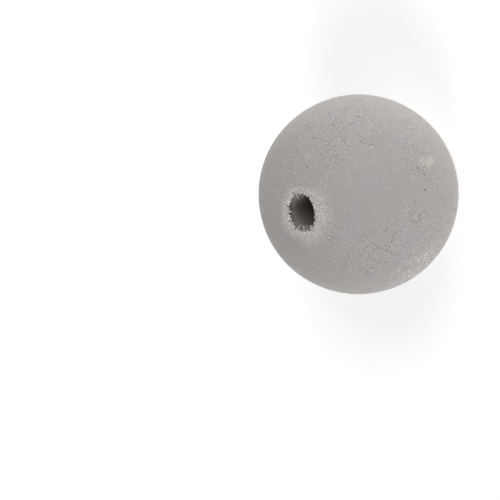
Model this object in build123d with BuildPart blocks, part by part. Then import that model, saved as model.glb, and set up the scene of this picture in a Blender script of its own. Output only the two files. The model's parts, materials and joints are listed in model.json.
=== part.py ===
"""A round wooden bead, turned in one piece and drilled through.

Millimetres. The bore runs along +Z and the origin is the middle of the bead. It stands on its clean
mouth, at the bottom. The mouth at the top is the one where the drill broke out and tore the grain.
"""
from build123d import *
import os
from math import acos, cos, degrees, radians, sin, sqrt

# The turned round
bead_diameter = 25.0
land_width = 0.75           # flat ring that the parting cut left round each mouth
land_edge_radius = 1.5      # sanding has rolled the flat ring over into the round

# The drilled bore
bore_diameter = 4.0
lip_radius = 0.25           # the clean mouth is rounded over, so that it won't cut a cord

# The torn mouth: a ragged star of notches, between teeth that still stand at the bore's wall
notch_count = 37
notch_depth = 0.25          # how far a notch of average depth bites out past the bore's wall
tooth_inset = 0.06          # how far inside the wall the star's own tips lie, so each tooth is whole
tear_depth = 0.9            # how far down the bore the deepest notch runs before it fades out
depth_spread = 0.5          # share of the average depth by which the notches differ
place_spread = 0.25         # share of the pitch by which they wander round the rim
depth_turn = 137.5          # degrees from notch to notch in the wave that sets their depths
place_turn = 79.0           # degrees from notch to notch in the wave that shifts them

bead_radius = bead_diameter / 2
bore_radius = bore_diameter / 2
land_radius = bore_radius + land_width
half_length = sqrt(bead_radius**2 - land_radius**2)
land_latitude = degrees(acos(land_radius / bead_radius))
notch_pitch = 360 / notch_count
star_tip_radius = bore_radius - tooth_inset
deepest_radius = bore_radius + notch_depth * (1 + depth_spread)


def star_points(shrink):
    """The torn rim's outline: a notch's root and the next tooth's tip in turn, all shrunk by one share."""
    points = []
    for notch in range(notch_count):
        bite = notch_depth * (1 + depth_spread * sin(radians(notch * depth_turn)))
        shift = place_spread * sin(radians(notch * place_turn))
        root_angle = radians(notch_pitch * (notch + shift))
        tip_angle = root_angle + radians(notch_pitch / 2)
        root_radius = shrink * (bore_radius + bite)
        tip_radius = shrink * star_tip_radius
        points.append((root_radius * cos(root_angle), root_radius * sin(root_angle)))
        points.append((tip_radius * cos(tip_angle), tip_radius * sin(tip_angle)))
    return points


with BuildPart() as bead:
    # Half the section, closed along the axis
    with BuildSketch(Plane.XZ):
        with BuildLine():
            side = CenterArc((0, 0), bead_radius, -land_latitude, 2 * land_latitude)
            Polyline(side @ 1, (0, half_length), (0, -half_length), side @ 0)
        make_face()
    revolve(axis=Axis.Z)

    # The edges where the round meets the two flat rings
    fillet(bead.edges().filter_by(GeomType.CIRCLE), radius=land_edge_radius)

    # The bore, and the rounded lip of the clean mouth
    Hole(radius=bore_radius)
    bottom_rims = bead.edges().filter_by(GeomType.CIRCLE).group_by(Axis.Z)[0]
    fillet(bottom_rims.sort_by(SortBy.RADIUS)[0], radius=lip_radius)

    # The torn mouth: the star at the top face narrows downwards, until its deepest root meets the wall
    torn_face = (half_length, 1)
    torn_end = (half_length - tear_depth, star_tip_radius / deepest_radius)
    for height, shrink in (torn_face, torn_end):
        with BuildSketch(Plane.XY.offset(height)):
            with BuildLine():
                Polyline(*star_points(shrink), close=True)
            make_face()
    loft(ruled=True, mode=Mode.SUBTRACT)

bead.part.label = "bead"

os.makedirs("parts", exist_ok=True)
export_step(bead.part, "parts/bead.step")
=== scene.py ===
"""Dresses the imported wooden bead: its painted skin, its torn mouth, and a plain studio round it.

The bead stands on its clean mouth with the bore along +Z. Lengths are in metres, unless a name or a
comment says mm.
"""

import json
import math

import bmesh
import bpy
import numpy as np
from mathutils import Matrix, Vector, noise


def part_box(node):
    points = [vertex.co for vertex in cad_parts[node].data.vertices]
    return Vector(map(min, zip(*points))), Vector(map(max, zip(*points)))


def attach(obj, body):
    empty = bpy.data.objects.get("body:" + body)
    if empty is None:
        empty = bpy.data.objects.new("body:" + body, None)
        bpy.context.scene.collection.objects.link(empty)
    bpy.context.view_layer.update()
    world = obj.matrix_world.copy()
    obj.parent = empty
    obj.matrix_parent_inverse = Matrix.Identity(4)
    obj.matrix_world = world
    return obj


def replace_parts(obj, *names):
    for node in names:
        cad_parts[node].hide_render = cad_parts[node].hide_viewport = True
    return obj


bl_info = {
    "name": "Painted wooden bead",
    "version": (1, 0, 0),
    "blender": (4, 5, 0),
    "location": "3D View > Sidebar > Bead",
    "description": "Builds a turned, drilled and painted wooden bead with one torn mouth, and its studio",
    "category": "Object",
}

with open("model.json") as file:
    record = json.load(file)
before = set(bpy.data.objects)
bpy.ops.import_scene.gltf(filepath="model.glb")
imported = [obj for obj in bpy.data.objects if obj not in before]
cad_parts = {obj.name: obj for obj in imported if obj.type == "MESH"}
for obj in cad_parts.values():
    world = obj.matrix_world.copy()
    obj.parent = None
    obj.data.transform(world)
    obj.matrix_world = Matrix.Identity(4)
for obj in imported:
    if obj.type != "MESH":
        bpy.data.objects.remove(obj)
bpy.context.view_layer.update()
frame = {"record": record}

MM = 0.001
NODE = "bead"
BODY = "root"
BORE = next(mount for mount in frame["record"]["mounts"] if mount["name"] == "bore")
CAD_LOW, CAD_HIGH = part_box(NODE)
CAD_RADIUS = (CAD_HIGH.x - CAD_LOW.x) / 2
CAD_HALF_LENGTH = (CAD_HIGH.z - CAD_LOW.z) / 2

# Rings of points along the section, from the clean lip round to the bore. They are closer above the
# dense latitude, in degrees, and down the torn part of the bore, which is TORN_SPAN runs of the tear long
LIP_RINGS = 6
CLEAN_RINGS = 3
ROUND_RINGS = 150
DENSE_RINGS = 46
DENSE_LATITUDE = 60
TORN_RINGS = 18
TORN_WALL_RINGS = 25
TORN_SPAN = 1.4
WALL_RINGS = 14

# The uneven star of the torn rim, as in the solid: how far depths and places spread, as shares, and the
# degrees from notch to notch in the waves that set them
DEPTH_SPREAD = 0.5
PLACE_SPREAD = 0.25
DEPTH_TURN = 137.5
PLACE_TURN = 79.0

# The smooth noises in the wood's form: the size of a swell in mm along X, Y and Z, and the noise's seed
SLOW_SWELLS = ((9, 9, 9), 1)
DIMPLES = ((2.6, 2.6, 2.6), 2)
GRAIN_PATCHES = ((4.2, 4.2, 4.2), 3)
PIMPLES = ((0.42, 0.42, 0.6), 4)
COARSE_BREAKS = ((0.2, 0.2, 0.3), 5)
FINE_BREAKS = ((0.09, 0.09, 0.2), 6)
WALL_RIBS = ((0.14, 0.14, 1.6), 8)
RIM_STRETCHES = ((0.9, 0.9, 0.9), 11)
RIM_JAGS = ((0.1, 0.1, 0.1), 12)
REACH_LOBES = ((1.1, 1.1, 1.1), 13)

# How far each seed moves its noise along X, Y and Z, in swells
SEED_STEPS = (7.31, 3.17, 5.83)

# Where patches of raised grain start and are full, in their noise, and how raised the grain is between them
GRAIN_RANGE = (-0.15, 0.35)
PLAIN_GRAIN = 0.35

# Shares of the half length: where turning marks start and are full, and where the plain foot of the
# round and that of the bore's wall end
TURNING_RANGE = (0.35, 0.9)
PLAIN_FOOT = 0.9
PLAIN_WALL = 0.95

# The height over which the waves of the turning marks pass one radian
TURNING_STEP = 0.085 * MM

# How strongly noise moves the torn stretches of the rim, where such a stretch starts and is fully torn,
# and how strongly noise moves the lobes of the roughened face
STRETCH_SWAY = 0.8
STRETCH_RANGE = (-0.7, 0.5)
LOBE_SWAY = 0.3

# Height of the finer broken grain, as a share of the coarser
FINE_BREAK_SHARE = 0.6

# How deep into the bore the broken grain and the outer paint reach, in runs of the tear
BROKEN_DEPTH = 2
PAINT_DEPTH = 0.13

# How deep into the bore the frayed edge reaches, in its own widths
FRAY_DEPTH = 0.4

# How sharply the face falls off towards a notch
SINK_POWER = 4

# The step from one splinter's depth to the next, as a share of the range of depths, which it goes through
# again and again so that neighbours differ. Then the least depth, as a share of the root depth
GOLDEN = 0.618
LEAST_DEPTH = 0.2

# Small splinters: least and most lean, least and most scale, sides, taper, and tufts for each mm
LEAN_RANGE = ((-0.8, -0.8, -0.3), (0.8, 0.8, 0.9))
SCALE_RANGE = ((0.4, 0.3, 0.3), (1.1, 0.7, 1.2))
FIBRE_SIDES = 5
TIP_SHARE = 0.1
TUFTS_IN_MM = 0.9

# The largest splinters: angles of root and tip, then the tip's radius and depth and half the width, in mm
LARGE_SPLINTERS = (
    (78, 79.6, 1.55, 0.05, 0.26),
    (12, 347, 1.21, 0.05, 0.055),
    (333, 341, 1.50, 0.10, 0.04),
    (40, 36, 1.70, 0.05, 0.07),
    (50, 46, 1.72, 0.05, 0.07),
    (110, 104, 1.82, 0.10, 0.07),
    (120, 124, 1.86, 0.10, 0.07),
    (165, 166, 1.75, 0.05, 0.10),
    (194, 199, 1.98, 0.05, 0.12),
    (283, 282.7, 1.78, 0.0, 0.08),
    (262, 262.4, 1.80, 0.0, 0.07),
    (249, 250, 1.86, 0.0, 0.06),
)

# Their roots' radius and depth in mm, their thickness as a share of the width, and their sides
LARGE_ROOT_RADIUS = 2.5
LARGE_ROOT_DEPTH = 0.3
LARGE_THICKNESS = 0.35
LARGE_SIDES = 6

# Dark pits in the paint: latitude, longitude, radius in mm and how dark
PITS = (
    (64.6, -22.9, 0.15, 0.55),
    (70.1, -33.1, 0.11, 0.35),
    (14.2, -98.4, 0.15, 0.60),
    (1.7, -105.8, 0.12, 0.40),
)

# Blisters of paint: latitude, longitude, radius in mm and height in mm
BLISTERS = (
    (49.0, -59.7, 0.35, 0.05),
    (19.1, -64.8, 0.40, 0.05),
    (51.7, -79.3, 0.20, 0.04),
)

# Where the paint is rougher or smoother: latitude, longitude, radius in mm and how much
ZONES = (
    (38.8, -31.5, 5.0, 0.22),
    (17.7, -121.8, 4.5, 0.22),
    (36.7, -157.2, 4.5, 0.28),
    (46.0, -88.0, 5.0, -0.25),
)

# The pale spot of thicker paint, in dabs: latitude, longitude, radius in mm and how pale
SPOTS = (
    (9.4, -82.0, 0.55, 0.45),
    (6.2, -84.0, 0.50, 0.70),
    (2.4, -83.2, 0.46, 0.75),
)

# The long scratch: latitude and longitude of its ends, then in mm where its edge and its ends fade out
SCRATCH = ((45.7, -134.0), (27.7, -139.3))
SCRATCH_EDGE = (0.030, 0.012)
SCRATCH_ENDS = (2.1, 1.9)

# The streaky stretch near the belt: latitude, longitude and radius in mm
STREAKY_STRETCH = (3.8, -152.0, 3.6)

# Edges of round marks, in radii of the mark: where they fade out and where they are full
SOFT_EDGE = (1.4, 0.4)
DAB_EDGE = (1.2, 0.7)

# The noises in the paint: swells for each mm, octaves, and how strong each finer octave is
ZONE_NOISE = (0.24, 3.0, 0.6)
CLUSTER_NOISE = (0.8, 2.0, 0.6)
TINT_NOISE = (0.17, 2.0, 0.5)
SPECKLE_NOISE = (5.2, 2.0, 0.6)
SPECK_NOISE = (5.8, 1.0, 0.5)
STREAK_NOISE = (2.6, 3.0, 0.6)
TURNING_NOISE = (3.4, 2.0, 0.6)
BREAK_NOISE = (4.2, 2.0, 0.6)
LEVEL_NOISE = (1.0, 2.0, 0.6)
WANDER_NOISE = (2.4, 2.0, 0.5)
BARE_NOISE = (4.0, 3.0, 0.6)
FRAY_NOISE = (3.0, 2.0, 0.6)
FIBRE_NOISE = (1.6, 2.0, 0.5)

# Stretched places for some of them: long along the bore, and long round the belt
ALONG_BORE = (1.0, 1.0, 0.16)
ROUND_BELT = (0.9, 0.9, 3.6)

# Values of a noise between which its effect goes from nothing to full
ZONE_RANGE = (0.42, 0.66)
CLUSTER_RANGE = (0.42, 0.62)
WARM_RANGE = (0.62, 0.46)
SPECK_RANGE = (0.60, 0.72)
LEVEL_RANGE = (0.45, 0.58)
GAP_RANGE = (0.38, 0.56)
FRAY_RANGE = (0.40, 0.54)

# How rough the paint is in smooth zones, in and out of clusters, and on the torn grain
SMOOTH_ZONE = 0.4
SMOOTH_CLUSTER = 0.4
CLUSTER_GAIN = 1.2
TORN_GAIN = 0.7

# How much the noises and the scratch change the paint's tone, and the speckle's own middle value
MOTTLE = 1.4
SPECKLE_MIDDLE = 0.485
STREAK_TONE = 0.06
TURNING_TONE = 0.05
SPECK_TONE = 0.8
STREAKY_TONE = 0.6
SCRATCH_TONE = 0.22

# How fast the broken grain pales with its noise, and what is taken off
BREAK_GAIN = 5.0
BREAK_START = 1.85

# How far the edge of a dab wanders, in mm
WANDER = 0.35

# Depths in mm between which the bore goes from stained wood to thin paint, partly a painted shade that
# darkens the bore deeper in, and the tones of its grain
OVERSPRAY_AND_SHADE_RANGE = (2.4, 0.3)
BARE_TONE = 0.75
BARE_SPREAD = 0.5

# Height in mm of each noise in the paint, and how much the speckle changes the paint's roughness
SPECKLE_HEIGHT = 0.12
STREAK_HEIGHT = 0.04
TURNING_HEIGHT = 0.03
STREAKY_HEIGHT = 0.05
SPECKLE_GLOSS = 0.12

# The splinters' darkest tone, how far their tones spread, and their roughness
FIBRE_TONE = 0.35
FIBRE_SPREAD = 1.2
FIBRE_ROUGHNESS = 0.7

# Softboxes: name, bearing, elevation and power, then how far off and how wide they are
LAMPS = (
    ("key_softbox", 45, 45, 1.55),
    ("fill_softbox", 270, 45, 1.65),
    ("low_softbox", 90, 14, 0.85),
)
LAMP_DISTANCE = 0.6
LAMP_SIZE = 0.35

# The camera's frame in mm, and how near it sees
SENSOR_WIDTH = 36
NEAR_CLIP = 0.01

WHITE = (1, 1, 1, 1)

# Sockets of a Mix node in its colour mode
MIX_FIRST = 6
MIX_SECOND = 7
MIX_RESULT = 2


def length(name, description, default):
    """A size that a user can change, in metres."""
    return bpy.props.FloatProperty(
        name=name, description=description, default=default, unit="LENGTH", precision=6
    )


def share(name, description, default):
    """A share from 0 to 1 that a user can change."""
    return bpy.props.FloatProperty(
        name=name, description=description, default=default, subtype="FACTOR"
    )


def colour(name, description, default):
    """A linear colour that a user can change."""
    return bpy.props.FloatVectorProperty(
        name=name, description=description, default=default, subtype="COLOR"
    )


def count(name, description, default):
    """A whole number that a user can change."""
    return bpy.props.IntProperty(name=name, description=description, default=default)


def angle(name, description, degrees):
    """An angle that a user can change, given in degrees and kept in radians."""
    return bpy.props.FloatProperty(
        name=name, description=description, default=math.radians(degrees), subtype="ANGLE"
    )


class BEAD_PG_form(bpy.types.PropertyGroup):
    """Sizes of the turned and drilled wood."""

    radius: length("Radius", "Half the width of the bead across its belt", CAD_RADIUS)
    half_length: length("Half length", "From the middle to either flat end", CAD_HALF_LENGTH)
    bore: length("Bore radius", "Radius of the drilled hole", BORE["dims"]["r_mm"] * MM)
    lip: length("Lip", "Rounding of the clean mouth", 0.25 * MM)
    soft_edge: length("Soft edge", "How gently the flat ends roll into the round", 0.038 * MM)
    rim: length("Rim", "Step over the torn rim's corner", 0.03 * MM)
    wall_grain: length("Wall grain", "Height of the ribs that the drill left down the bore", 0.02 * MM)
    steps_round: count("Steps round", "Points in each ring", 360)
    unround: length("Out of round", "Height of the slow swells that sanding left", 0.035 * MM)
    dimple: length("Dimples", "Height of the shallow waves under the paint", 0.014 * MM)
    pimple: length("Raised grain", "Height of the fine bumps where the grain stood up", 0.020 * MM)
    ripple: length("Turning marks", "Height of the fine rings that the cutter left", 0.0035 * MM)


class BEAD_PG_tear(bpy.types.PropertyGroup):
    """Sizes of the torn mouth."""

    notches: count("Notches", "Bites out of the rim", 37)
    depth: length("Notch depth", "How far an average notch bites past the bore's wall", 0.27 * MM)
    run: length("Run", "How far down the bore the tear runs", 0.9 * MM)
    reach: length("Reach", "How far out from the bore the face is roughened", 2.4 * MM)
    lopsided: share("Lopsided", "How much further it is roughened on one side", 0.35)
    reach_side: angle("Reach side", "Where round the rim that is", 210)
    side: angle("Side", "Where round the rim the drill tore it most", 110)
    calm: share("Calm", "How torn the least torn stretch of the rim is", 0.70)
    widen: length("Widen", "How much wider than the bore the rim is all round", 0.10 * MM)
    oval: length("Oval", "How much the tear draws the rim out of round", 0.20 * MM)
    oval_side: angle("Oval side", "Where round the rim the oval is longest", -9)
    gouge: length("Gouge", "How much further the rim is torn on one side", 0.12 * MM)
    gouge_side: angle("Gouge side", "Where round the rim that is", 170)
    jag: length("Jag", "Height of the fine jags along the rim", 0.08 * MM)
    tooth: length("Tooth", "How far a tooth stands in past the bore's wall", 0.12 * MM)
    sink: share("Sink", "How far the face drops in a notch, as a share of the notch", 0.6)
    drag: length("Drag", "How far out from the bore the notches pull the face", 0.7 * MM)
    lift: length("Lift", "Width of the pale frayed edge along the rim", 0.30 * MM)
    rough: length("Roughness", "Height of the broken grain round the mouth", 0.05 * MM)
    fibres: count("Fibres", "Places round the rim where a splinter can stand", 230)
    root_seat: length("Root seat", "How far behind the rim a splinter is rooted", 0.07 * MM)
    root_depth: length("Root depth", "How far down the bore splinters are rooted", 0.28 * MM)
    bald: share("Bald", "How much of the rim has no splinters", 0.60)
    fibre_length: length("Fibre length", "Length of a long splinter", 0.38 * MM)
    fibre_width: length("Fibre width", "Half the width of a splinter at its root", 0.09 * MM)
    seed: count("Seed", "Fixes every random choice among the splinters", 7)


class BEAD_PG_paint(bpy.types.PropertyGroup):
    """Colours of the paint and of the wood under it."""

    warm: colour("Warm grey", "The paint over most of the bead", (0.411, 0.388, 0.3675))
    cool: colour("Cool grey", "The paint's cooler patches", (0.411, 0.386, 0.382))
    halo: colour("Broken grain", "Paint on the broken grain round the torn mouth", (0.67, 0.645, 0.62))
    # Partly pale torn wood and partly a painted highlight: the fibres are lighter for the light that thin
    # fibres catch, and the frayed rim and the streaks take this colour too
    fibre: colour("Fibre", "Tips of the torn fibres", (0.90, 0.88, 0.85))
    # Partly painted shade: the deep bore colour is darker than the thin paint near the mouth, standing in
    # for the shade deep in the bore
    inside: colour("Bore", "Stained wood deep inside the bore", (0.234, 0.208, 0.194))
    overspray: colour("Overspray", "Thin paint just inside the bore", (0.384, 0.343, 0.32))
    # Painted light: one side of the bore's wall is painted lighter and the other darker, for the light that
    # falls into the bore
    lit_wall_bias: share("Spray bias", "How much more paint one side of the bore took", 0.38)
    lit_wall_side: angle("Spray side", "Where round the bore that is", 5)
    spot: colour("Spot", "The small pale spot of thicker paint", (0.57, 0.55, 0.48))
    roughness: share("Roughness", "How matte the paint is", 0.62)
    gloss: share("Gloss", "How strongly the paint mirrors its surroundings", 0.2)


class BEAD_PG_stage(bpy.types.PropertyGroup):
    """The camera, the lamps and the floor."""

    distance: length("Distance", "From the bead to the camera", 313 * MM)
    elevation: angle("Elevation", "Height of the camera over the floor, seen from the bead", 53.9)
    roll: angle("Roll", "Turn of the picture, which lays the bore down to the left", 106.5)
    lens: bpy.props.FloatProperty(
        name="Lens", description="Focal length on a 36 mm frame", default=179.83, unit="CAMERA"
    )
    aside: length("Aside", "How far right of the picture's middle the bead stands", 13.585 * MM)
    above: length("Above", "How far above the picture's middle the bead stands", 6.976 * MM)
    ambient: share("Ambient", "Brightness of the room's own light", 0.16)
    floor: colour("Floor", "The plain floor", (0.80, 0.80, 0.80))
    floor_glow: share("Floor glow", "Brightness of the light box under the floor", 0.70)
    floor_seen: share("Floor seen", "Brightness of that light box as the camera sees it", 0.46)
    floor_size: length("Floor size", "Width of the floor", 4.0)
    fade_from: length("Fade from", "How far out the floor starts to fade into the backdrop", 0.06)
    fade_to: length("Fade to", "How far out the floor looks as white as the backdrop", 0.4)


def soft_min(first, second, softness):
    """The lesser of two values, with the corner where they cross rounded off."""
    t = np.clip(0.5 + 0.5 * (second - first) / softness, 0, 1)
    return second * (1 - t) + first * t - softness * t * (1 - t)


def smooth_step(low, high, values):
    """0 at low, 1 at high and a smooth change between them, whichever of the two is the larger."""
    t = np.clip((values - low) / (high - low), 0, 1)
    return t * t * (3 - 2 * t)


def swells(points, kind):
    """Smooth noise from -1 to 1 at each point, of one of the kinds named at the top."""
    size, seed = kind
    shift = Vector([seed * step for step in SEED_STEPS])
    scaled = points.reshape(-1, 3) / (np.array(size) * MM)
    return np.array([noise.noise(Vector(point) + shift) for point in scaled]).reshape(points.shape[:2])


def circle(radius, turns):
    """Points round a circle about the bore, one for each angle."""
    return radius * np.stack([np.cos(turns), np.sin(turns), np.zeros_like(turns)], axis=-1)


def on_round(radius, latitude, longitude):
    """A place on the round: its latitude from the belt and its longitude from +X, in degrees."""
    up = math.radians(latitude)
    turn = math.radians(longitude)
    return radius * np.array((math.cos(up) * math.cos(turn), math.cos(up) * math.sin(turn), math.sin(up)))


def section(form, tear):
    """Radius and height of each ring of points, once round the section, and where the bore starts.

    The rings run from the clean lip over the round to the torn rim, and back down the bore.
    """
    land = math.sqrt(form.radius**2 - form.half_length**2)
    land_latitude = math.acos(land / form.radius)

    bend = np.radians(np.linspace(0, 90, LIP_RINGS + 1)[:-1])
    lip_radii = form.bore + form.lip * (1 - np.cos(bend))
    lip_heights = -form.half_length + form.lip * (1 - np.sin(bend))

    dense_from = math.radians(DENSE_LATITUDE)
    latitudes = np.concatenate([
        np.linspace(-land_latitude, dense_from, ROUND_RINGS)[:-1],
        np.linspace(dense_from, land_latitude, DENSE_RINGS),
    ])
    round_heights = form.radius * np.sin(latitudes)
    flattened = soft_min(np.abs(round_heights), form.half_length, form.soft_edge)
    clean_radii = np.linspace(form.bore + form.lip, land, CLEAN_RINGS + 1)[:-1]
    torn_radii = np.linspace(land, form.bore + form.rim, TORN_RINGS + 1)[1:]
    fine = np.linspace(form.rim, TORN_SPAN * tear.run, TORN_WALL_RINGS)
    coarse = np.linspace(TORN_SPAN * tear.run, 2 * form.half_length - form.lip, WALL_RINGS + 2)[1:-1]
    depths = np.concatenate([fine, coarse])

    radii = np.concatenate([
        lip_radii,
        clean_radii,
        form.radius * np.cos(latitudes),
        torn_radii,
        np.full(len(depths), form.bore),
    ])
    heights = np.concatenate([
        lip_heights,
        np.full(len(clean_radii), -form.half_length),
        np.sign(round_heights) * flattened,
        np.full(len(torn_radii), form.half_length),
        form.half_length - depths,
    ])
    return radii, heights, len(radii) - len(depths)


def rim_outline(tear, bore, turns):
    """How far the torn rim stands out past the bore's wall at each angle: notches bite out, teeth stay in.

    Some stretches of the rim are torn less than others, and all of it is finely jagged.
    """
    steps = np.arange(tear.notches)
    pitch = 2 * math.pi / tear.notches
    bites = tear.depth * (1 + DEPTH_SPREAD * np.sin(np.radians(steps * DEPTH_TURN)))
    roots = pitch * (steps + PLACE_SPREAD * np.sin(np.radians(steps * PLACE_TURN)))
    angles = np.concatenate([roots, roots + pitch / 2])
    stands = np.concatenate([bites, np.full(tear.notches, -tear.tooth)])
    star = np.interp(turns, angles, stands, period=2 * math.pi)
    rim = circle(bore, turns)
    torn_side = np.cos(turns - tear.side) + STRETCH_SWAY * swells(rim, RIM_STRETCHES)
    share_torn = smooth_step(*STRETCH_RANGE, torn_side)
    jags = tear.jag * swells(rim, RIM_JAGS)
    oval = tear.oval * np.cos(2 * (turns - tear.oval_side))
    gouge = tear.gouge * np.cos(turns - tear.gouge_side)
    return star * (tear.calm + (1 - tear.calm) * share_torn) + tear.widen + oval + gouge + jags


def relief(form, tear, points, in_bore, dragged):
    """How far the skin stands out of the plain form at each point.

    The round has slow swells, dimples, raised grain and turning marks, and the bore has ribs along
    it. All of that fades out towards the clean end, and the grain round the torn rim is broken.
    """
    height = points[..., 2]
    foot = -form.half_length
    patches = smooth_step(*GRAIN_RANGE, swells(points, GRAIN_PATCHES))
    towards_ends = smooth_step(*TURNING_RANGE, np.abs(height) / form.half_length)
    outside = form.unround * swells(points, SLOW_SWELLS)
    outside += form.dimple * swells(points, DIMPLES)
    outside += form.pimple * (PLAIN_GRAIN + patches) * swells(points, PIMPLES)
    outside += form.ripple * np.sin(height / TURNING_STEP) * towards_ends
    outside *= smooth_step(foot, foot * PLAIN_FOOT, height)
    ribs = form.wall_grain * swells(points, WALL_RIBS) * smooth_step(foot, foot * PLAIN_WALL, height)
    broken = tear.rough * swells(points, COARSE_BREAKS)
    broken += FINE_BREAK_SHARE * tear.rough * swells(points, FINE_BREAKS)
    return np.where(in_bore, ribs, outside) + broken * dragged


def bead_skin(form, tear):
    """The bead's whole skin as one closed grid: its points, and what each is like, for the paint.

    "torn" is how near a point is to the torn rim, "inside" is 1 in the bore, and "edge" picks out
    the rim itself.
    """
    radii, heights, bore_start = section(form, tear)
    turns = np.linspace(0, 2 * math.pi, form.steps_round, endpoint=False)
    radius, turn = np.meshgrid(radii, turns, indexing="ij")
    height = np.repeat(heights[:, None], form.steps_round, axis=1)
    ring = np.arange(len(radii))[:, None] * np.ones_like(turn)
    in_bore = ring >= bore_start
    once_round = turn[:1]

    # How near each point is to the torn rim, along the face and down the bore
    depth = np.where(in_bore, form.half_length - height, 0)
    out = np.where(in_bore, 0, radius - form.bore)
    upper = height > 0
    lobes = LOBE_SWAY * swells(circle(form.bore, once_round), REACH_LOBES)
    reach = tear.reach * (1 + tear.lopsided * np.cos(once_round - tear.reach_side) + lobes)
    roughened = smooth_step(reach, 0, out) * smooth_step(BROKEN_DEPTH * tear.run, 0, depth)
    dragged = np.where(upper, roughened, 0)
    pulled = smooth_step(tear.drag, 0, out) * np.clip(1 - depth / tear.run, 0, 1)
    opened = np.where(upper, pulled, 0)

    # The ragged rim: the wall stands back in the notches and the face sinks towards them
    outline = rim_outline(tear, form.bore, once_round)
    radius = radius + opened * outline
    sunk = opened**SINK_POWER * np.clip(outline, 0, None) * tear.sink
    height = height - np.where(in_bore, 0, sunk)
    around = circle(1, turn)
    up = np.zeros_like(around)
    up[..., 2] = 1
    points = radius[..., None] * around + height[..., None] * up

    # The relief stands out of the wood, and nothing of it goes under the end that the bead stands on
    facing = points / np.linalg.norm(points, axis=-1, keepdims=True)
    facing = np.where(in_bore[..., None], -around, facing)
    points = points + relief(form, tear, points, in_bore, dragged)[..., None] * facing
    points[..., 2] = np.maximum(points[..., 2], -form.half_length)

    inside = np.where(in_bore, smooth_step(0, PAINT_DEPTH * tear.run, depth), 0)
    frayed = smooth_step(tear.lift, 0, out) * smooth_step(FRAY_DEPTH * tear.lift, 0, depth)
    return points, {"torn": dragged, "inside": inside, "edge": np.where(upper, frayed, 0)}


def grid_mesh(name, points):
    """A mesh over a grid of points that closes on itself both ways."""
    rings, steps = points.shape[:2]
    index = np.arange(rings * steps).reshape(rings, steps)
    after = np.roll(index, -1, axis=0)
    corners = np.stack([index, np.roll(index, -1, axis=1), np.roll(after, -1, axis=1), after], axis=-1)
    mesh = bpy.data.meshes.new(name)
    mesh.from_pydata(points.reshape(-1, 3), [], corners.reshape(-1, 4))
    mesh.polygons.foreach_set("use_smooth", np.ones(rings * steps, dtype=bool))
    mesh.update()
    return mesh


def paint_points(mesh, name, values):
    """Stores one number for each point of a mesh, for its material to read."""
    layer = mesh.attributes.new(name, "FLOAT", "POINT")
    layer.data.foreach_set("value", values.reshape(-1).astype(np.float32))


def place(name, mesh, material):
    """An object at the origin, unturned, with one material."""
    mesh.materials.clear()
    mesh.materials.append(material)
    thing = bpy.data.objects.new(name, mesh)
    bpy.context.scene.collection.objects.link(thing)
    return thing


class Wire:
    """A value in a shader's node tree. Arithmetic on it adds the nodes that work the result out."""

    def __init__(self, shader, socket):
        self.shader = shader
        self.socket = socket

    def __add__(self, other):
        return self.shader.maths("ADD", self, other)

    def __sub__(self, other):
        return self.shader.maths("SUBTRACT", self, other)

    def __rsub__(self, other):
        return self.shader.maths("SUBTRACT", other, self)

    def __mul__(self, other):
        return self.shader.maths("MULTIPLY", self, other)

    __radd__ = __add__
    __rmul__ = __mul__


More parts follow.
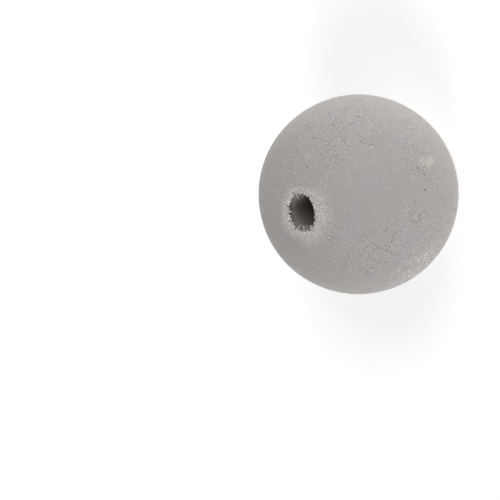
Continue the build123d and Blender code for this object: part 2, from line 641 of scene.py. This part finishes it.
class Shader:
    """The node tree of a material or a world, and one method that adds any node to it."""

    def __init__(self, owner):
        self.owner = owner
        owner.use_nodes = True
        self.tree = owner.node_tree
        self.tree.nodes.clear()

    def node(self, kind, settings=None, inputs=None, output=0):
        """Adds a node, sets it up, fills its sockets with values or wires, and gives one of its outputs."""
        made = self.tree.nodes.new(kind)
        for name, value in (settings or {}).items():
            setattr(made, name, value)
        for name, value in (inputs or {}).items():
            if isinstance(value, Wire):
                self.tree.links.new(value.socket, made.inputs[name])
            else:
                made.inputs[name].default_value = value
        return Wire(self, made.outputs[output])

    def maths(self, operation, *values):
        """One Math node on up to three values."""
        return self.node("ShaderNodeMath", {"operation": operation}, dict(enumerate(values)))

    def vector(self, operation, *values, output=0):
        """One Vector Math node on up to three values."""
        return self.node("ShaderNodeVectorMath", {"operation": operation}, dict(enumerate(values)), output)

    def fade(self, value, low, high):
        """0 where the value is at low, 1 where it is at high, and a smooth change between."""
        inputs = {"Value": value, "From Min": low, "From Max": high}
        return self.node("ShaderNodeMapRange", {"interpolation_type": "SMOOTHSTEP"}, inputs)

    def blend(self, first, second, amount):
        """A colour between two colours."""
        inputs = {"Factor": amount, MIX_FIRST: first, MIX_SECOND: second}
        return self.node("ShaderNodeMix", {"data_type": "RGBA"}, inputs, MIX_RESULT)

    def times(self, value, factor):
        """A colour or a place, all of it times one factor."""
        return self.node("ShaderNodeVectorMath", {"operation": "SCALE"}, {0: value, "Scale": factor})

    def millimetres(self):
        """The place on the object, in mm."""
        return self.times(self.node("ShaderNodeTexCoord", None, None, "Object"), 1 / MM)

    def stretched(self, where, factors):
        """A place with X, Y and Z each times a factor of its own."""
        return self.node("ShaderNodeMapping", None, {"Vector": where, "Scale": factors})

    def part(self, where, axis):
        """One coordinate of a place."""
        return self.node("ShaderNodeSeparateXYZ", None, {0: where}, axis)

    def clip(self, value):
        """The value, held between 0 and 1."""
        return self.maths("MINIMUM", self.maths("MAXIMUM", value, 0.0), 1.0)

    def cloud(self, where, kind):
        """Noise from 0 to 1 at a place, of one of the kinds named at the top."""
        scale, detail, roughness = kind
        inputs = {"Vector": where, "Scale": scale, "Detail": detail, "Roughness": roughness}
        return self.node("ShaderNodeTexNoise", None, inputs)

    def away(self, mm, spot):
        """How far a place is from a spot, in mm."""
        return self.vector("DISTANCE", mm, tuple(spot), output="Value")

    def near(self, mm, spot, size):
        """1 at a spot, and fading to 0 about one size away from it."""
        none, full = SOFT_EDGE
        return self.fade(self.away(mm, spot), none * size, full * size)

    def stored(self, name):
        """A number that the mesh carries at each of its points."""
        return self.node("ShaderNodeAttribute", {"attribute_name": name}, None, "Fac")

    def seen(self):
        """1 for what the camera sees, straight or by a mirror or glass, and 0 for light on the object."""
        camera = self.node("ShaderNodeLightPath", None, None, "Is Camera Ray")
        glossy = self.node("ShaderNodeLightPath", None, None, "Is Glossy Ray")
        through = self.node("ShaderNodeLightPath", None, None, "Is Transmission Ray")
        return self.maths("MAXIMUM", self.maths("MAXIMUM", camera, glossy), through)

    def finish(self, surface):
        """Ends the tree in its output and gives what owns it."""
        world = isinstance(self.owner, bpy.types.World)
        out = self.tree.nodes.new("ShaderNodeOutputWorld" if world else "ShaderNodeOutputMaterial")
        self.tree.links.new(surface.socket, out.inputs["Surface"])
        return self.owner


def opaque(rgb):
    """A colour with its alpha, as the colour sockets want it."""
    return (*rgb, 1.0)


def rough_places(s, mm, radius):
    """How rough the paint is from place to place: in clusters, and more so in the rough zones."""
    uneven = s.cloud(mm, ZONE_NOISE)
    for latitude, longitude, size, change in ZONES:
        uneven = uneven + change * s.near(mm, on_round(radius, latitude, longitude), size)
    zones = s.fade(uneven, *ZONE_RANGE)
    clusters = s.fade(s.cloud(mm, CLUSTER_NOISE), *CLUSTER_RANGE)
    return (SMOOTH_ZONE + (1 - SMOOTH_ZONE) * zones) * (SMOOTH_CLUSTER + CLUSTER_GAIN * clusters)


def streaky_places(s, mm, radius, speckle):
    """The stretch near the belt where the paint lies in short pale streaks."""
    latitude, longitude, size = STREAKY_STRETCH
    stretch = s.near(mm, on_round(radius, latitude, longitude), size)
    level = s.cloud(s.stretched(mm, ROUND_BELT), LEVEL_NOISE)
    return stretch * s.fade(level, *LEVEL_RANGE) * s.fade(speckle, *GAP_RANGE)


def marked(s, paint, mm, radius, tint):
    """The paint's colour with its single marks: the pale spot, the dark pits and the scratch."""
    wander = WANDER * (s.cloud(mm, WANDER_NOISE) - 0.5)
    none, full = DAB_EDGE
    for latitude, longitude, size, pale in SPOTS:
        ragged = s.away(mm, on_round(radius, latitude, longitude)) + wander
        tint = s.blend(tint, opaque(paint.spot), pale * s.fade(ragged, none * size, full * size))
    for latitude, longitude, size, dark in PITS:
        tint = s.times(tint, 1.0 - dark * s.near(mm, on_round(radius, latitude, longitude), size))
    start, end = (on_round(radius, latitude, longitude) for latitude, longitude in SCRATCH)
    flat = np.cross(start, end) / radius**2
    across = s.maths("ABSOLUTE", s.vector("DOT_PRODUCT", mm, tuple(flat), output="Value"))
    along = s.away(mm, (start + end) / 2)
    scratched = s.fade(across, *SCRATCH_EDGE) * s.fade(along, *SCRATCH_ENDS)
    return s.times(tint, 1.0 - SCRATCH_TONE * scratched)


def bare_bore(s, form, paint, mm, along_bore):
    """The bore's wall: thin paint near a mouth and stained wood deeper in, darker with depth partly as
    painted shade, and lighter down one side as painted light.
    """
    depth = form.half_length / MM - s.maths("ABSOLUTE", s.part(mm, "Z"))
    # Darker deeper in: partly thin paint giving way to stained wood, partly a painted shade deep in the
    # bore
    bare = s.blend(opaque(paint.inside), opaque(paint.overspray), s.fade(depth, *OVERSPRAY_AND_SHADE_RANGE))
    bore = form.bore / MM
    # Painted light and shade: the wall is painted lighter towards one side of the bore and darker towards
    # the other
    lit_wall_way = (math.cos(paint.lit_wall_side) / bore, math.sin(paint.lit_wall_side) / bore, 0)
    bias = 1.0 + paint.lit_wall_bias * s.vector("DOT_PRODUCT", mm, lit_wall_way, output="Value")
    return s.times(bare, bias * (BARE_TONE + BARE_SPREAD * s.cloud(along_bore, BARE_NOISE)))


def painted_wood(form, paint):
    """Matte grey paint on sanded wood: mottled, broken round the torn mouth, and thin in the bore."""
    s = Shader(bpy.data.materials.new("painted_wood"))
    radius = form.radius / MM
    mm = s.millimetres()
    x, y, z = (s.part(mm, axis) for axis in "XYZ")
    along_bore = s.stretched(mm, ALONG_BORE)
    rings = s.node("ShaderNodeCombineXYZ", None, {"X": s.maths("SQRT", x * x + y * y), "Z": z})
    torn = s.stored("torn")
    speckle = s.cloud(mm, SPECKLE_NOISE)
    streaks = s.cloud(along_bore, STREAK_NOISE)
    turning = s.cloud(rings, TURNING_NOISE)
    rough_here = rough_places(s, mm, radius) + TORN_GAIN * torn
    streaky = streaky_places(s, mm, radius, speckle)

    # Two greys, mottled, with pale flecks, partly real paint and partly painted glints
    warm_here = s.fade(s.cloud(mm, TINT_NOISE), *WARM_RANGE)
    tint = s.blend(opaque(paint.cool), opaque(paint.warm), warm_here)
    mottle = MOTTLE * rough_here * (speckle - SPECKLE_MIDDLE)
    mottle = mottle + STREAK_TONE * (streaks - 0.5) + TURNING_TONE * (turning - 0.5)
    tint = s.times(tint, 1.0 + mottle)
    # Pale flecks: partly lighter paint, partly painted glints
    specks_and_glints = s.fade(s.cloud(mm, SPECK_NOISE), *SPECK_RANGE)
    tint = s.blend(tint, opaque(paint.halo), s.clip(SPECK_TONE * rough_here * specks_and_glints))

    # Broken grain round the torn mouth, streaks, single marks, the bore, and the rim's frayed edge
    broken = torn * (BREAK_GAIN * s.cloud(mm, BREAK_NOISE) - BREAK_START)
    tint = s.blend(tint, opaque(paint.halo), s.clip(broken))
    tint = s.blend(tint, opaque(paint.fibre), STREAKY_TONE * streaky)
    tint = marked(s, paint, mm, radius, tint)
    tint = s.blend(tint, bare_bore(s, form, paint, mm, along_bore), s.stored("inside"))
    # The frayed edge takes the fibres' pale colour, partly a painted highlight along the rim
    frayed = s.stored("edge") * s.fade(s.cloud(mm, FRAY_NOISE), *FRAY_RANGE)
    tint = s.blend(tint, opaque(paint.fibre), frayed)

    # Relief too fine for the mesh, and the blisters
    height = SPECKLE_HEIGHT * (speckle - 0.5) * rough_here
    height = height + STREAK_HEIGHT * streaks + TURNING_HEIGHT * turning + STREAKY_HEIGHT * streaky
    for latitude, longitude, size, lift in BLISTERS:
        height = height + lift * s.near(mm, on_round(radius, latitude, longitude), size)
    normal = s.node("ShaderNodeBump", None, {"Strength": 1.0, "Distance": MM, "Height": height})
    roughness = paint.roughness + SPECKLE_GLOSS * (speckle - 0.5)
    surface = s.node(
        "ShaderNodeBsdfPrincipled",
        None,
        {"Base Color": tint, "Roughness": roughness, "Specular IOR Level": paint.gloss, "Normal": normal},
    )
    return s.finish(surface)


def fibre_material(paint):
    """Paint-clogged tips of the torn fibres, pale partly as torn wood and partly as a painted highlight."""
    s = Shader(bpy.data.materials.new("torn_fibre"))
    tone = FIBRE_TONE + FIBRE_SPREAD * s.cloud(s.millimetres(), FIBRE_NOISE)
    inputs = {"Base Color": s.times(paint.fibre, tone), "Roughness": FIBRE_ROUGHNESS}
    return s.finish(s.node("ShaderNodeBsdfPrincipled", None, inputs))


class Growth:
    """A Geometry Nodes tree with named inputs, and one method that adds any node to it."""

    def __init__(self, name):
        self.tree = bpy.data.node_groups.new(name, "GeometryNodeTree")
        self.tree.interface.new_socket("Geometry", in_out="INPUT", socket_type="NodeSocketGeometry")
        self.tree.interface.new_socket("Geometry", in_out="OUTPUT", socket_type="NodeSocketGeometry")
        self.values = {}
        self.group_input = self.tree.nodes.new("NodeGroupInput")

    def ask(self, name, kind, value):
        """A named input of the tree, and the value that its modifier gets."""
        socket = self.tree.interface.new_socket(name, in_out="INPUT", socket_type=kind)
        self.values[socket.identifier] = value
        return self.group_input.outputs[name]

    def node(self, kind, settings=None, inputs=None, output=0):
        """Adds a node, sets it up, fills its sockets with values or links, and gives one of its outputs."""
        made = self.tree.nodes.new(kind)
        for name, value in (settings or {}).items():
            setattr(made, name, value)
        for name, value in (inputs or {}).items():
            if isinstance(value, bpy.types.NodeSocket):
                self.tree.links.new(value, made.inputs[name])
            else:
                made.inputs[name].default_value = value
        return made.outputs[output]

    def random_vector(self, ends, seed):
        """Three random values for each point, between a least and a most for each."""
        inputs = {0: ends[0], 1: ends[1], "Seed": seed}
        return self.node("FunctionNodeRandomValue", {"data_type": "FLOAT_VECTOR"}, inputs)

    def grow(self, name, geometry, material, points):
        """Ends the tree, runs it on a mesh of loose points and gives the result as a plain mesh object."""
        realized = self.node("GeometryNodeRealizeInstances", None, {0: geometry})
        coated = self.node("GeometryNodeSetMaterial", None, {"Geometry": realized, "Material": material})
        out = self.tree.nodes.new("NodeGroupOutput")
        self.tree.links.new(coated, out.inputs[0])
        seeds = bpy.data.meshes.new(name)
        seeds.from_pydata(points, [], [])
        seedling = bpy.data.objects.new(name, seeds)
        bpy.context.scene.collection.objects.link(seedling)
        modifier = seedling.modifiers.new(name, "NODES")
        modifier.node_group = self.tree
        for identifier, value in self.values.items():
            modifier[identifier] = value
        evaluated = seedling.evaluated_get(bpy.context.evaluated_depsgraph_get())
        grown = bpy.data.meshes.new_from_object(evaluated)
        seedling.modifiers.clear()
        seedling.data = grown
        grown.name = name
        return seedling


def fibre_roots(form, tear):
    """Where the splinters are rooted: in the wood just behind the torn rim, a little way down the bore."""
    steps = np.arange(tear.fibres)
    turns = 2 * math.pi * steps / tear.fibres
    outline = rim_outline(tear, form.bore, turns[None])[0]
    deeper = LEAST_DEPTH + (1 - LEAST_DEPTH) * (steps * GOLDEN % 1)
    depth = tear.sink * np.clip(outline, 0, None) + tear.root_depth * deeper
    stand = form.bore + outline * (1 - depth / tear.run) + tear.root_seat
    return np.stack([stand * np.cos(turns), stand * np.sin(turns), form.half_length - depth], axis=-1)


def fibre_tree(form, tear, material):
    """Splinters that stand along the torn rim in tufts and lean in over the bore."""
    g = Growth("torn_fibres")
    reach = g.ask("Fibre length", "NodeSocketFloat", tear.fibre_length)
    width = g.ask("Fibre width", "NodeSocketFloat", tear.fibre_width)
    bald = g.ask("Bald", "NodeSocketFloat", tear.bald)
    seed = g.ask("Seed", "NodeSocketInt", tear.seed)
    coat = g.ask("Material", "NodeSocketMaterial", material)

    # Each fibre points from its root towards the axis, and some way up, down or to one side
    root = g.node("GeometryNodeInputPosition")
    to_axis = (-1 / form.bore, -1 / form.bore, 0)
    inwards = g.node("ShaderNodeVectorMath", {"operation": "MULTIPLY"}, {0: root, 1: to_axis})
    lean = g.random_vector(LEAN_RANGE, seed)
    heading = g.node("ShaderNodeVectorMath", {"operation": "ADD"}, {0: inwards, 1: lean})
    turn = g.node("FunctionNodeAlignRotationToVector", {"axis": "Z"}, {"Vector": heading})

    # Some are short and fine, some long and flat, and they stand in tufts
    next_seed = g.node("ShaderNodeMath", {"operation": "ADD"}, {0: seed, 1: 1})
    size = g.random_vector(SCALE_RANGE, next_seed)
    tufts = g.node("ShaderNodeTexNoise", None, {"Scale": TUFTS_IN_MM / MM, "Detail": 1.0})
    grown = g.node("ShaderNodeMath", {"operation": "GREATER_THAN"}, {0: tufts, 1: bald})
    shape = {
        "Vertices": FIBRE_SIDES,
        "Radius Top": TIP_SHARE * tear.fibre_width,
        "Radius Bottom": width,
        "Depth": reach,
    }
    splinter = g.node("GeometryNodeMeshCone", None, shape)
    fibres = g.node(
        "GeometryNodeInstanceOnPoints",
        None,
        {
            "Points": g.group_input.outputs["Geometry"],
            "Selection": grown,
            "Instance": splinter,
            "Rotation": turn,
            "Scale": size,
        },
    )
    return g.grow("torn_fibres", fibres, coat, fibre_roots(form, tear))


def on_mouth(form, degrees, radius, depth):
    """A place in the torn mouth: its angle, its radius in mm and its depth under the face in mm."""
    turn = math.radians(degrees)
    flat = radius * MM * Vector((math.cos(turn), math.sin(turn), 0))
    return flat + Vector((0, 0, form.half_length - depth * MM))


def add_large_splinters(mesh, form):
    """Adds the few splinters that are large enough to be told apart, each flat and pointed."""
    shape = bmesh.new()
    shape.from_mesh(mesh)
    for root_angle, tip_angle, tip_radius, tip_depth, width in LARGE_SPLINTERS:
        root = on_mouth(form, root_angle, LARGE_ROOT_RADIUS, LARGE_ROOT_DEPTH)
        tip = on_mouth(form, tip_angle, tip_radius, tip_depth)
        along = tip - root
        turn = along.to_track_quat("Z", "Y").to_matrix().to_4x4()
        flat = Matrix.Diagonal((1, LARGE_THICKNESS, 1, 1))
        bmesh.ops.create_cone(
            shape,
            cap_ends=True,
            segments=LARGE_SIDES,
            radius1=width * MM,
            radius2=TIP_SHARE * width * MM,
            depth=along.length,
            matrix=Matrix.Translation((root + tip) / 2) @ turn @ flat,
        )
    shape.to_mesh(mesh)
    shape.free()


class BEAD_OT_turned_body(bpy.types.Operator):
    """Turns, drills, tears and paints the bead"""

    bl_idname = "bead.turned_body"
    bl_label = "Turned body"

    def execute(self, context):
        scene = context.scene
        points, marks = bead_skin(scene.bead_form, scene.bead_tear)
        mesh = grid_mesh("painted_bead", points)
        for name, values in marks.items():
            paint_points(mesh, name, values)
        body = place("painted_bead", mesh, painted_wood(scene.bead_form, scene.bead_paint))
        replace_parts(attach(body, BODY), NODE)
        return {"FINISHED"}


class BEAD_OT_torn_fibres(bpy.types.Operator):
    """Grows the splinters that stand round the torn mouth"""

    bl_idname = "bead.torn_fibres"
    bl_label = "Torn fibres"

    def execute(self, context):
        scene = context.scene
        fibres = fibre_tree(scene.bead_form, scene.bead_tear, fibre_material(scene.bead_paint))
        add_large_splinters(fibres.data, scene.bead_form)
        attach(fibres, BODY)
        return {"FINISHED"}


def soft_lamp(name, bearing, elevation, power):
    """A square softbox that faces the bead from a bearing round it, in degrees from -Y towards +X."""
    turn = math.radians(bearing - 90)
    rise = math.radians(elevation)
    heading = Vector((math.cos(rise) * math.cos(turn), math.cos(rise) * math.sin(turn), math.sin(rise)))
    spot = heading * LAMP_DISTANCE
    light = bpy.data.lights.new(name, "AREA")
    light.shape = "SQUARE"
    light.size = LAMP_SIZE
    light.energy = power
    lamp = bpy.data.objects.new(name, light)
    lamp.matrix_world = Matrix.Translation(spot) @ spot.to_track_quat("Z", "Y").to_matrix().to_4x4()
    lamp.visible_camera = False
    bpy.context.scene.collection.objects.link(lamp)
    return lamp


def photo_camera(stage):
    """The camera of the photograph: it looks down on the torn mouth, which lies to the left."""
    rise = stage.elevation
    sight = Vector((0, -math.cos(rise), math.sin(rise)))
    level = Vector((1, 0, 0))
    upward = Vector((0, math.sin(rise), math.cos(rise)))
    right = math.cos(stage.roll) * level - math.sin(stage.roll) * upward
    top = math.sin(stage.roll) * level + math.cos(stage.roll) * upward
    eye = sight * stage.distance
    aim = -stage.aside * right - stage.above * top
    back = (eye - aim).normalized()
    top = (top - back * top.dot(back)).normalized()
    right = top.cross(back)
    data = bpy.data.cameras.new("photo_camera")
    data.lens = stage.lens
    data.sensor_width = SENSOR_WIDTH
    data.clip_start = NEAR_CLIP
    camera = bpy.data.objects.new("photo_camera", data)
    turned = Matrix((right, top, back)).transposed().to_4x4()
    camera.matrix_world = Matrix.Translation(eye) @ turned
    bpy.context.scene.collection.objects.link(camera)
    bpy.context.scene.camera = camera
    return camera


def floor_material(stage):
    """A pale floor over a light box. To the camera it fades into the white backdrop further out."""
    s = Shader(bpy.data.materials.new("pale_floor"))
    seen = s.seen()
    plain = s.node("ShaderNodeBsdfDiffuse", None, {"Color": opaque(stage.floor)})
    glow = s.node("ShaderNodeEmission", None, {"Color": WHITE, "Strength": stage.floor_glow})
    dimmer = s.node("ShaderNodeEmission", None, {"Color": WHITE, "Strength": stage.floor_seen})
    light = s.node("ShaderNodeMixShader", None, {"Fac": seen, 1: glow, 2: dimmer})
    near = s.node("ShaderNodeAddShader", None, {0: plain, 1: light})
    far = s.node("ShaderNodeEmission", None, {"Color": WHITE, "Strength": 1.0})
    here = s.node("ShaderNodeTexCoord", None, None, "Object")
    distance = s.vector("LENGTH", here, output="Value")
    faded = seen * s.fade(distance, stage.fade_from, stage.fade_to)
    return s.finish(s.node("ShaderNodeMixShader", None, {"Fac": faded, 1: near, 2: far}))


def lay_floor(stage, low):
    """The floor, one square face at the height that the bead stands on."""
    half = stage.floor_size / 2
    corners = [(-half, -half, low), (half, -half, low), (half, half, low), (-half, half, low)]
    mesh = bpy.data.meshes.new("floor")
    mesh.from_pydata(corners, [], [(0, 1, 2, 3)])
    return place("floor", mesh, floor_material(stage))


def room(stage):
    """The room's own faint light, behind a backdrop that the camera sees as white."""
    s = Shader(bpy.data.worlds.new("room"))
    ambient = s.node("ShaderNodeBackground", None, {"Color": WHITE, "Strength": stage.ambient})
    backdrop = s.node("ShaderNodeBackground", None, {"Color": WHITE, "Strength": 1.0})
    return s.finish(s.node("ShaderNodeMixShader", None, {"Fac": s.seen(), 1: ambient, 2: backdrop}))


class BEAD_OT_stage(bpy.types.Operator):
    """Lays the floor and sets up the lamps and the camera"""

    bl_idname = "bead.stage"
    bl_label = "Stage"

    def execute(self, context):
        scene = context.scene
        lay_floor(scene.bead_stage, -scene.bead_form.half_length)
        scene.world = room(scene.bead_stage)
        for name, bearing, elevation, power in LAMPS:
            soft_lamp(name, bearing, elevation, power)
        photo_camera(scene.bead_stage)
        scene.view_settings.view_transform = "Standard"
        return {"FINISHED"}


class BEAD_PT_panel(bpy.types.Panel):
    """Lists the bead's sizes and colours, and the steps that build it"""

    bl_label = "Wooden bead"
    bl_space_type = "VIEW_3D"
    bl_region_type = "UI"
    bl_category = "Bead"

    def draw(self, context):
        for group in GROUPS:
            values = getattr(context.scene, group)
            column = self.layout.column(align=True)
            for name in values.bl_rna.properties.keys():
                if name not in ("rna_type", "name"):
                    column.prop(values, name)
        for step in STEPS:
            self.layout.operator(step.bl_idname)


STEPS = (BEAD_OT_turned_body, BEAD_OT_torn_fibres, BEAD_OT_stage)
GROUPS = {
    "bead_form": BEAD_PG_form,
    "bead_tear": BEAD_PG_tear,
    "bead_paint": BEAD_PG_paint,
    "bead_stage": BEAD_PG_stage,
}


def register():
    """Adds the groups of values, the steps and the panel to Blender."""
    for kind in (*GROUPS.values(), *STEPS, BEAD_PT_panel):
        bpy.utils.register_class(kind)
    for name, kind in GROUPS.items():
        setattr(bpy.types.Scene, name, bpy.props.PointerProperty(type=kind))


def unregister():
    """Takes them out again."""
    for name in GROUPS:
        delattr(bpy.types.Scene, name)
    for kind in reversed((*GROUPS.values(), *STEPS, BEAD_PT_panel)):
        bpy.utils.unregister_class(kind)


def main():
    """Builds the bead and its studio."""
    register()
    bpy.ops.bead.turned_body()
    bpy.ops.bead.torn_fibres()
    bpy.ops.bead.stage()


if __name__ == "__main__":
    main()
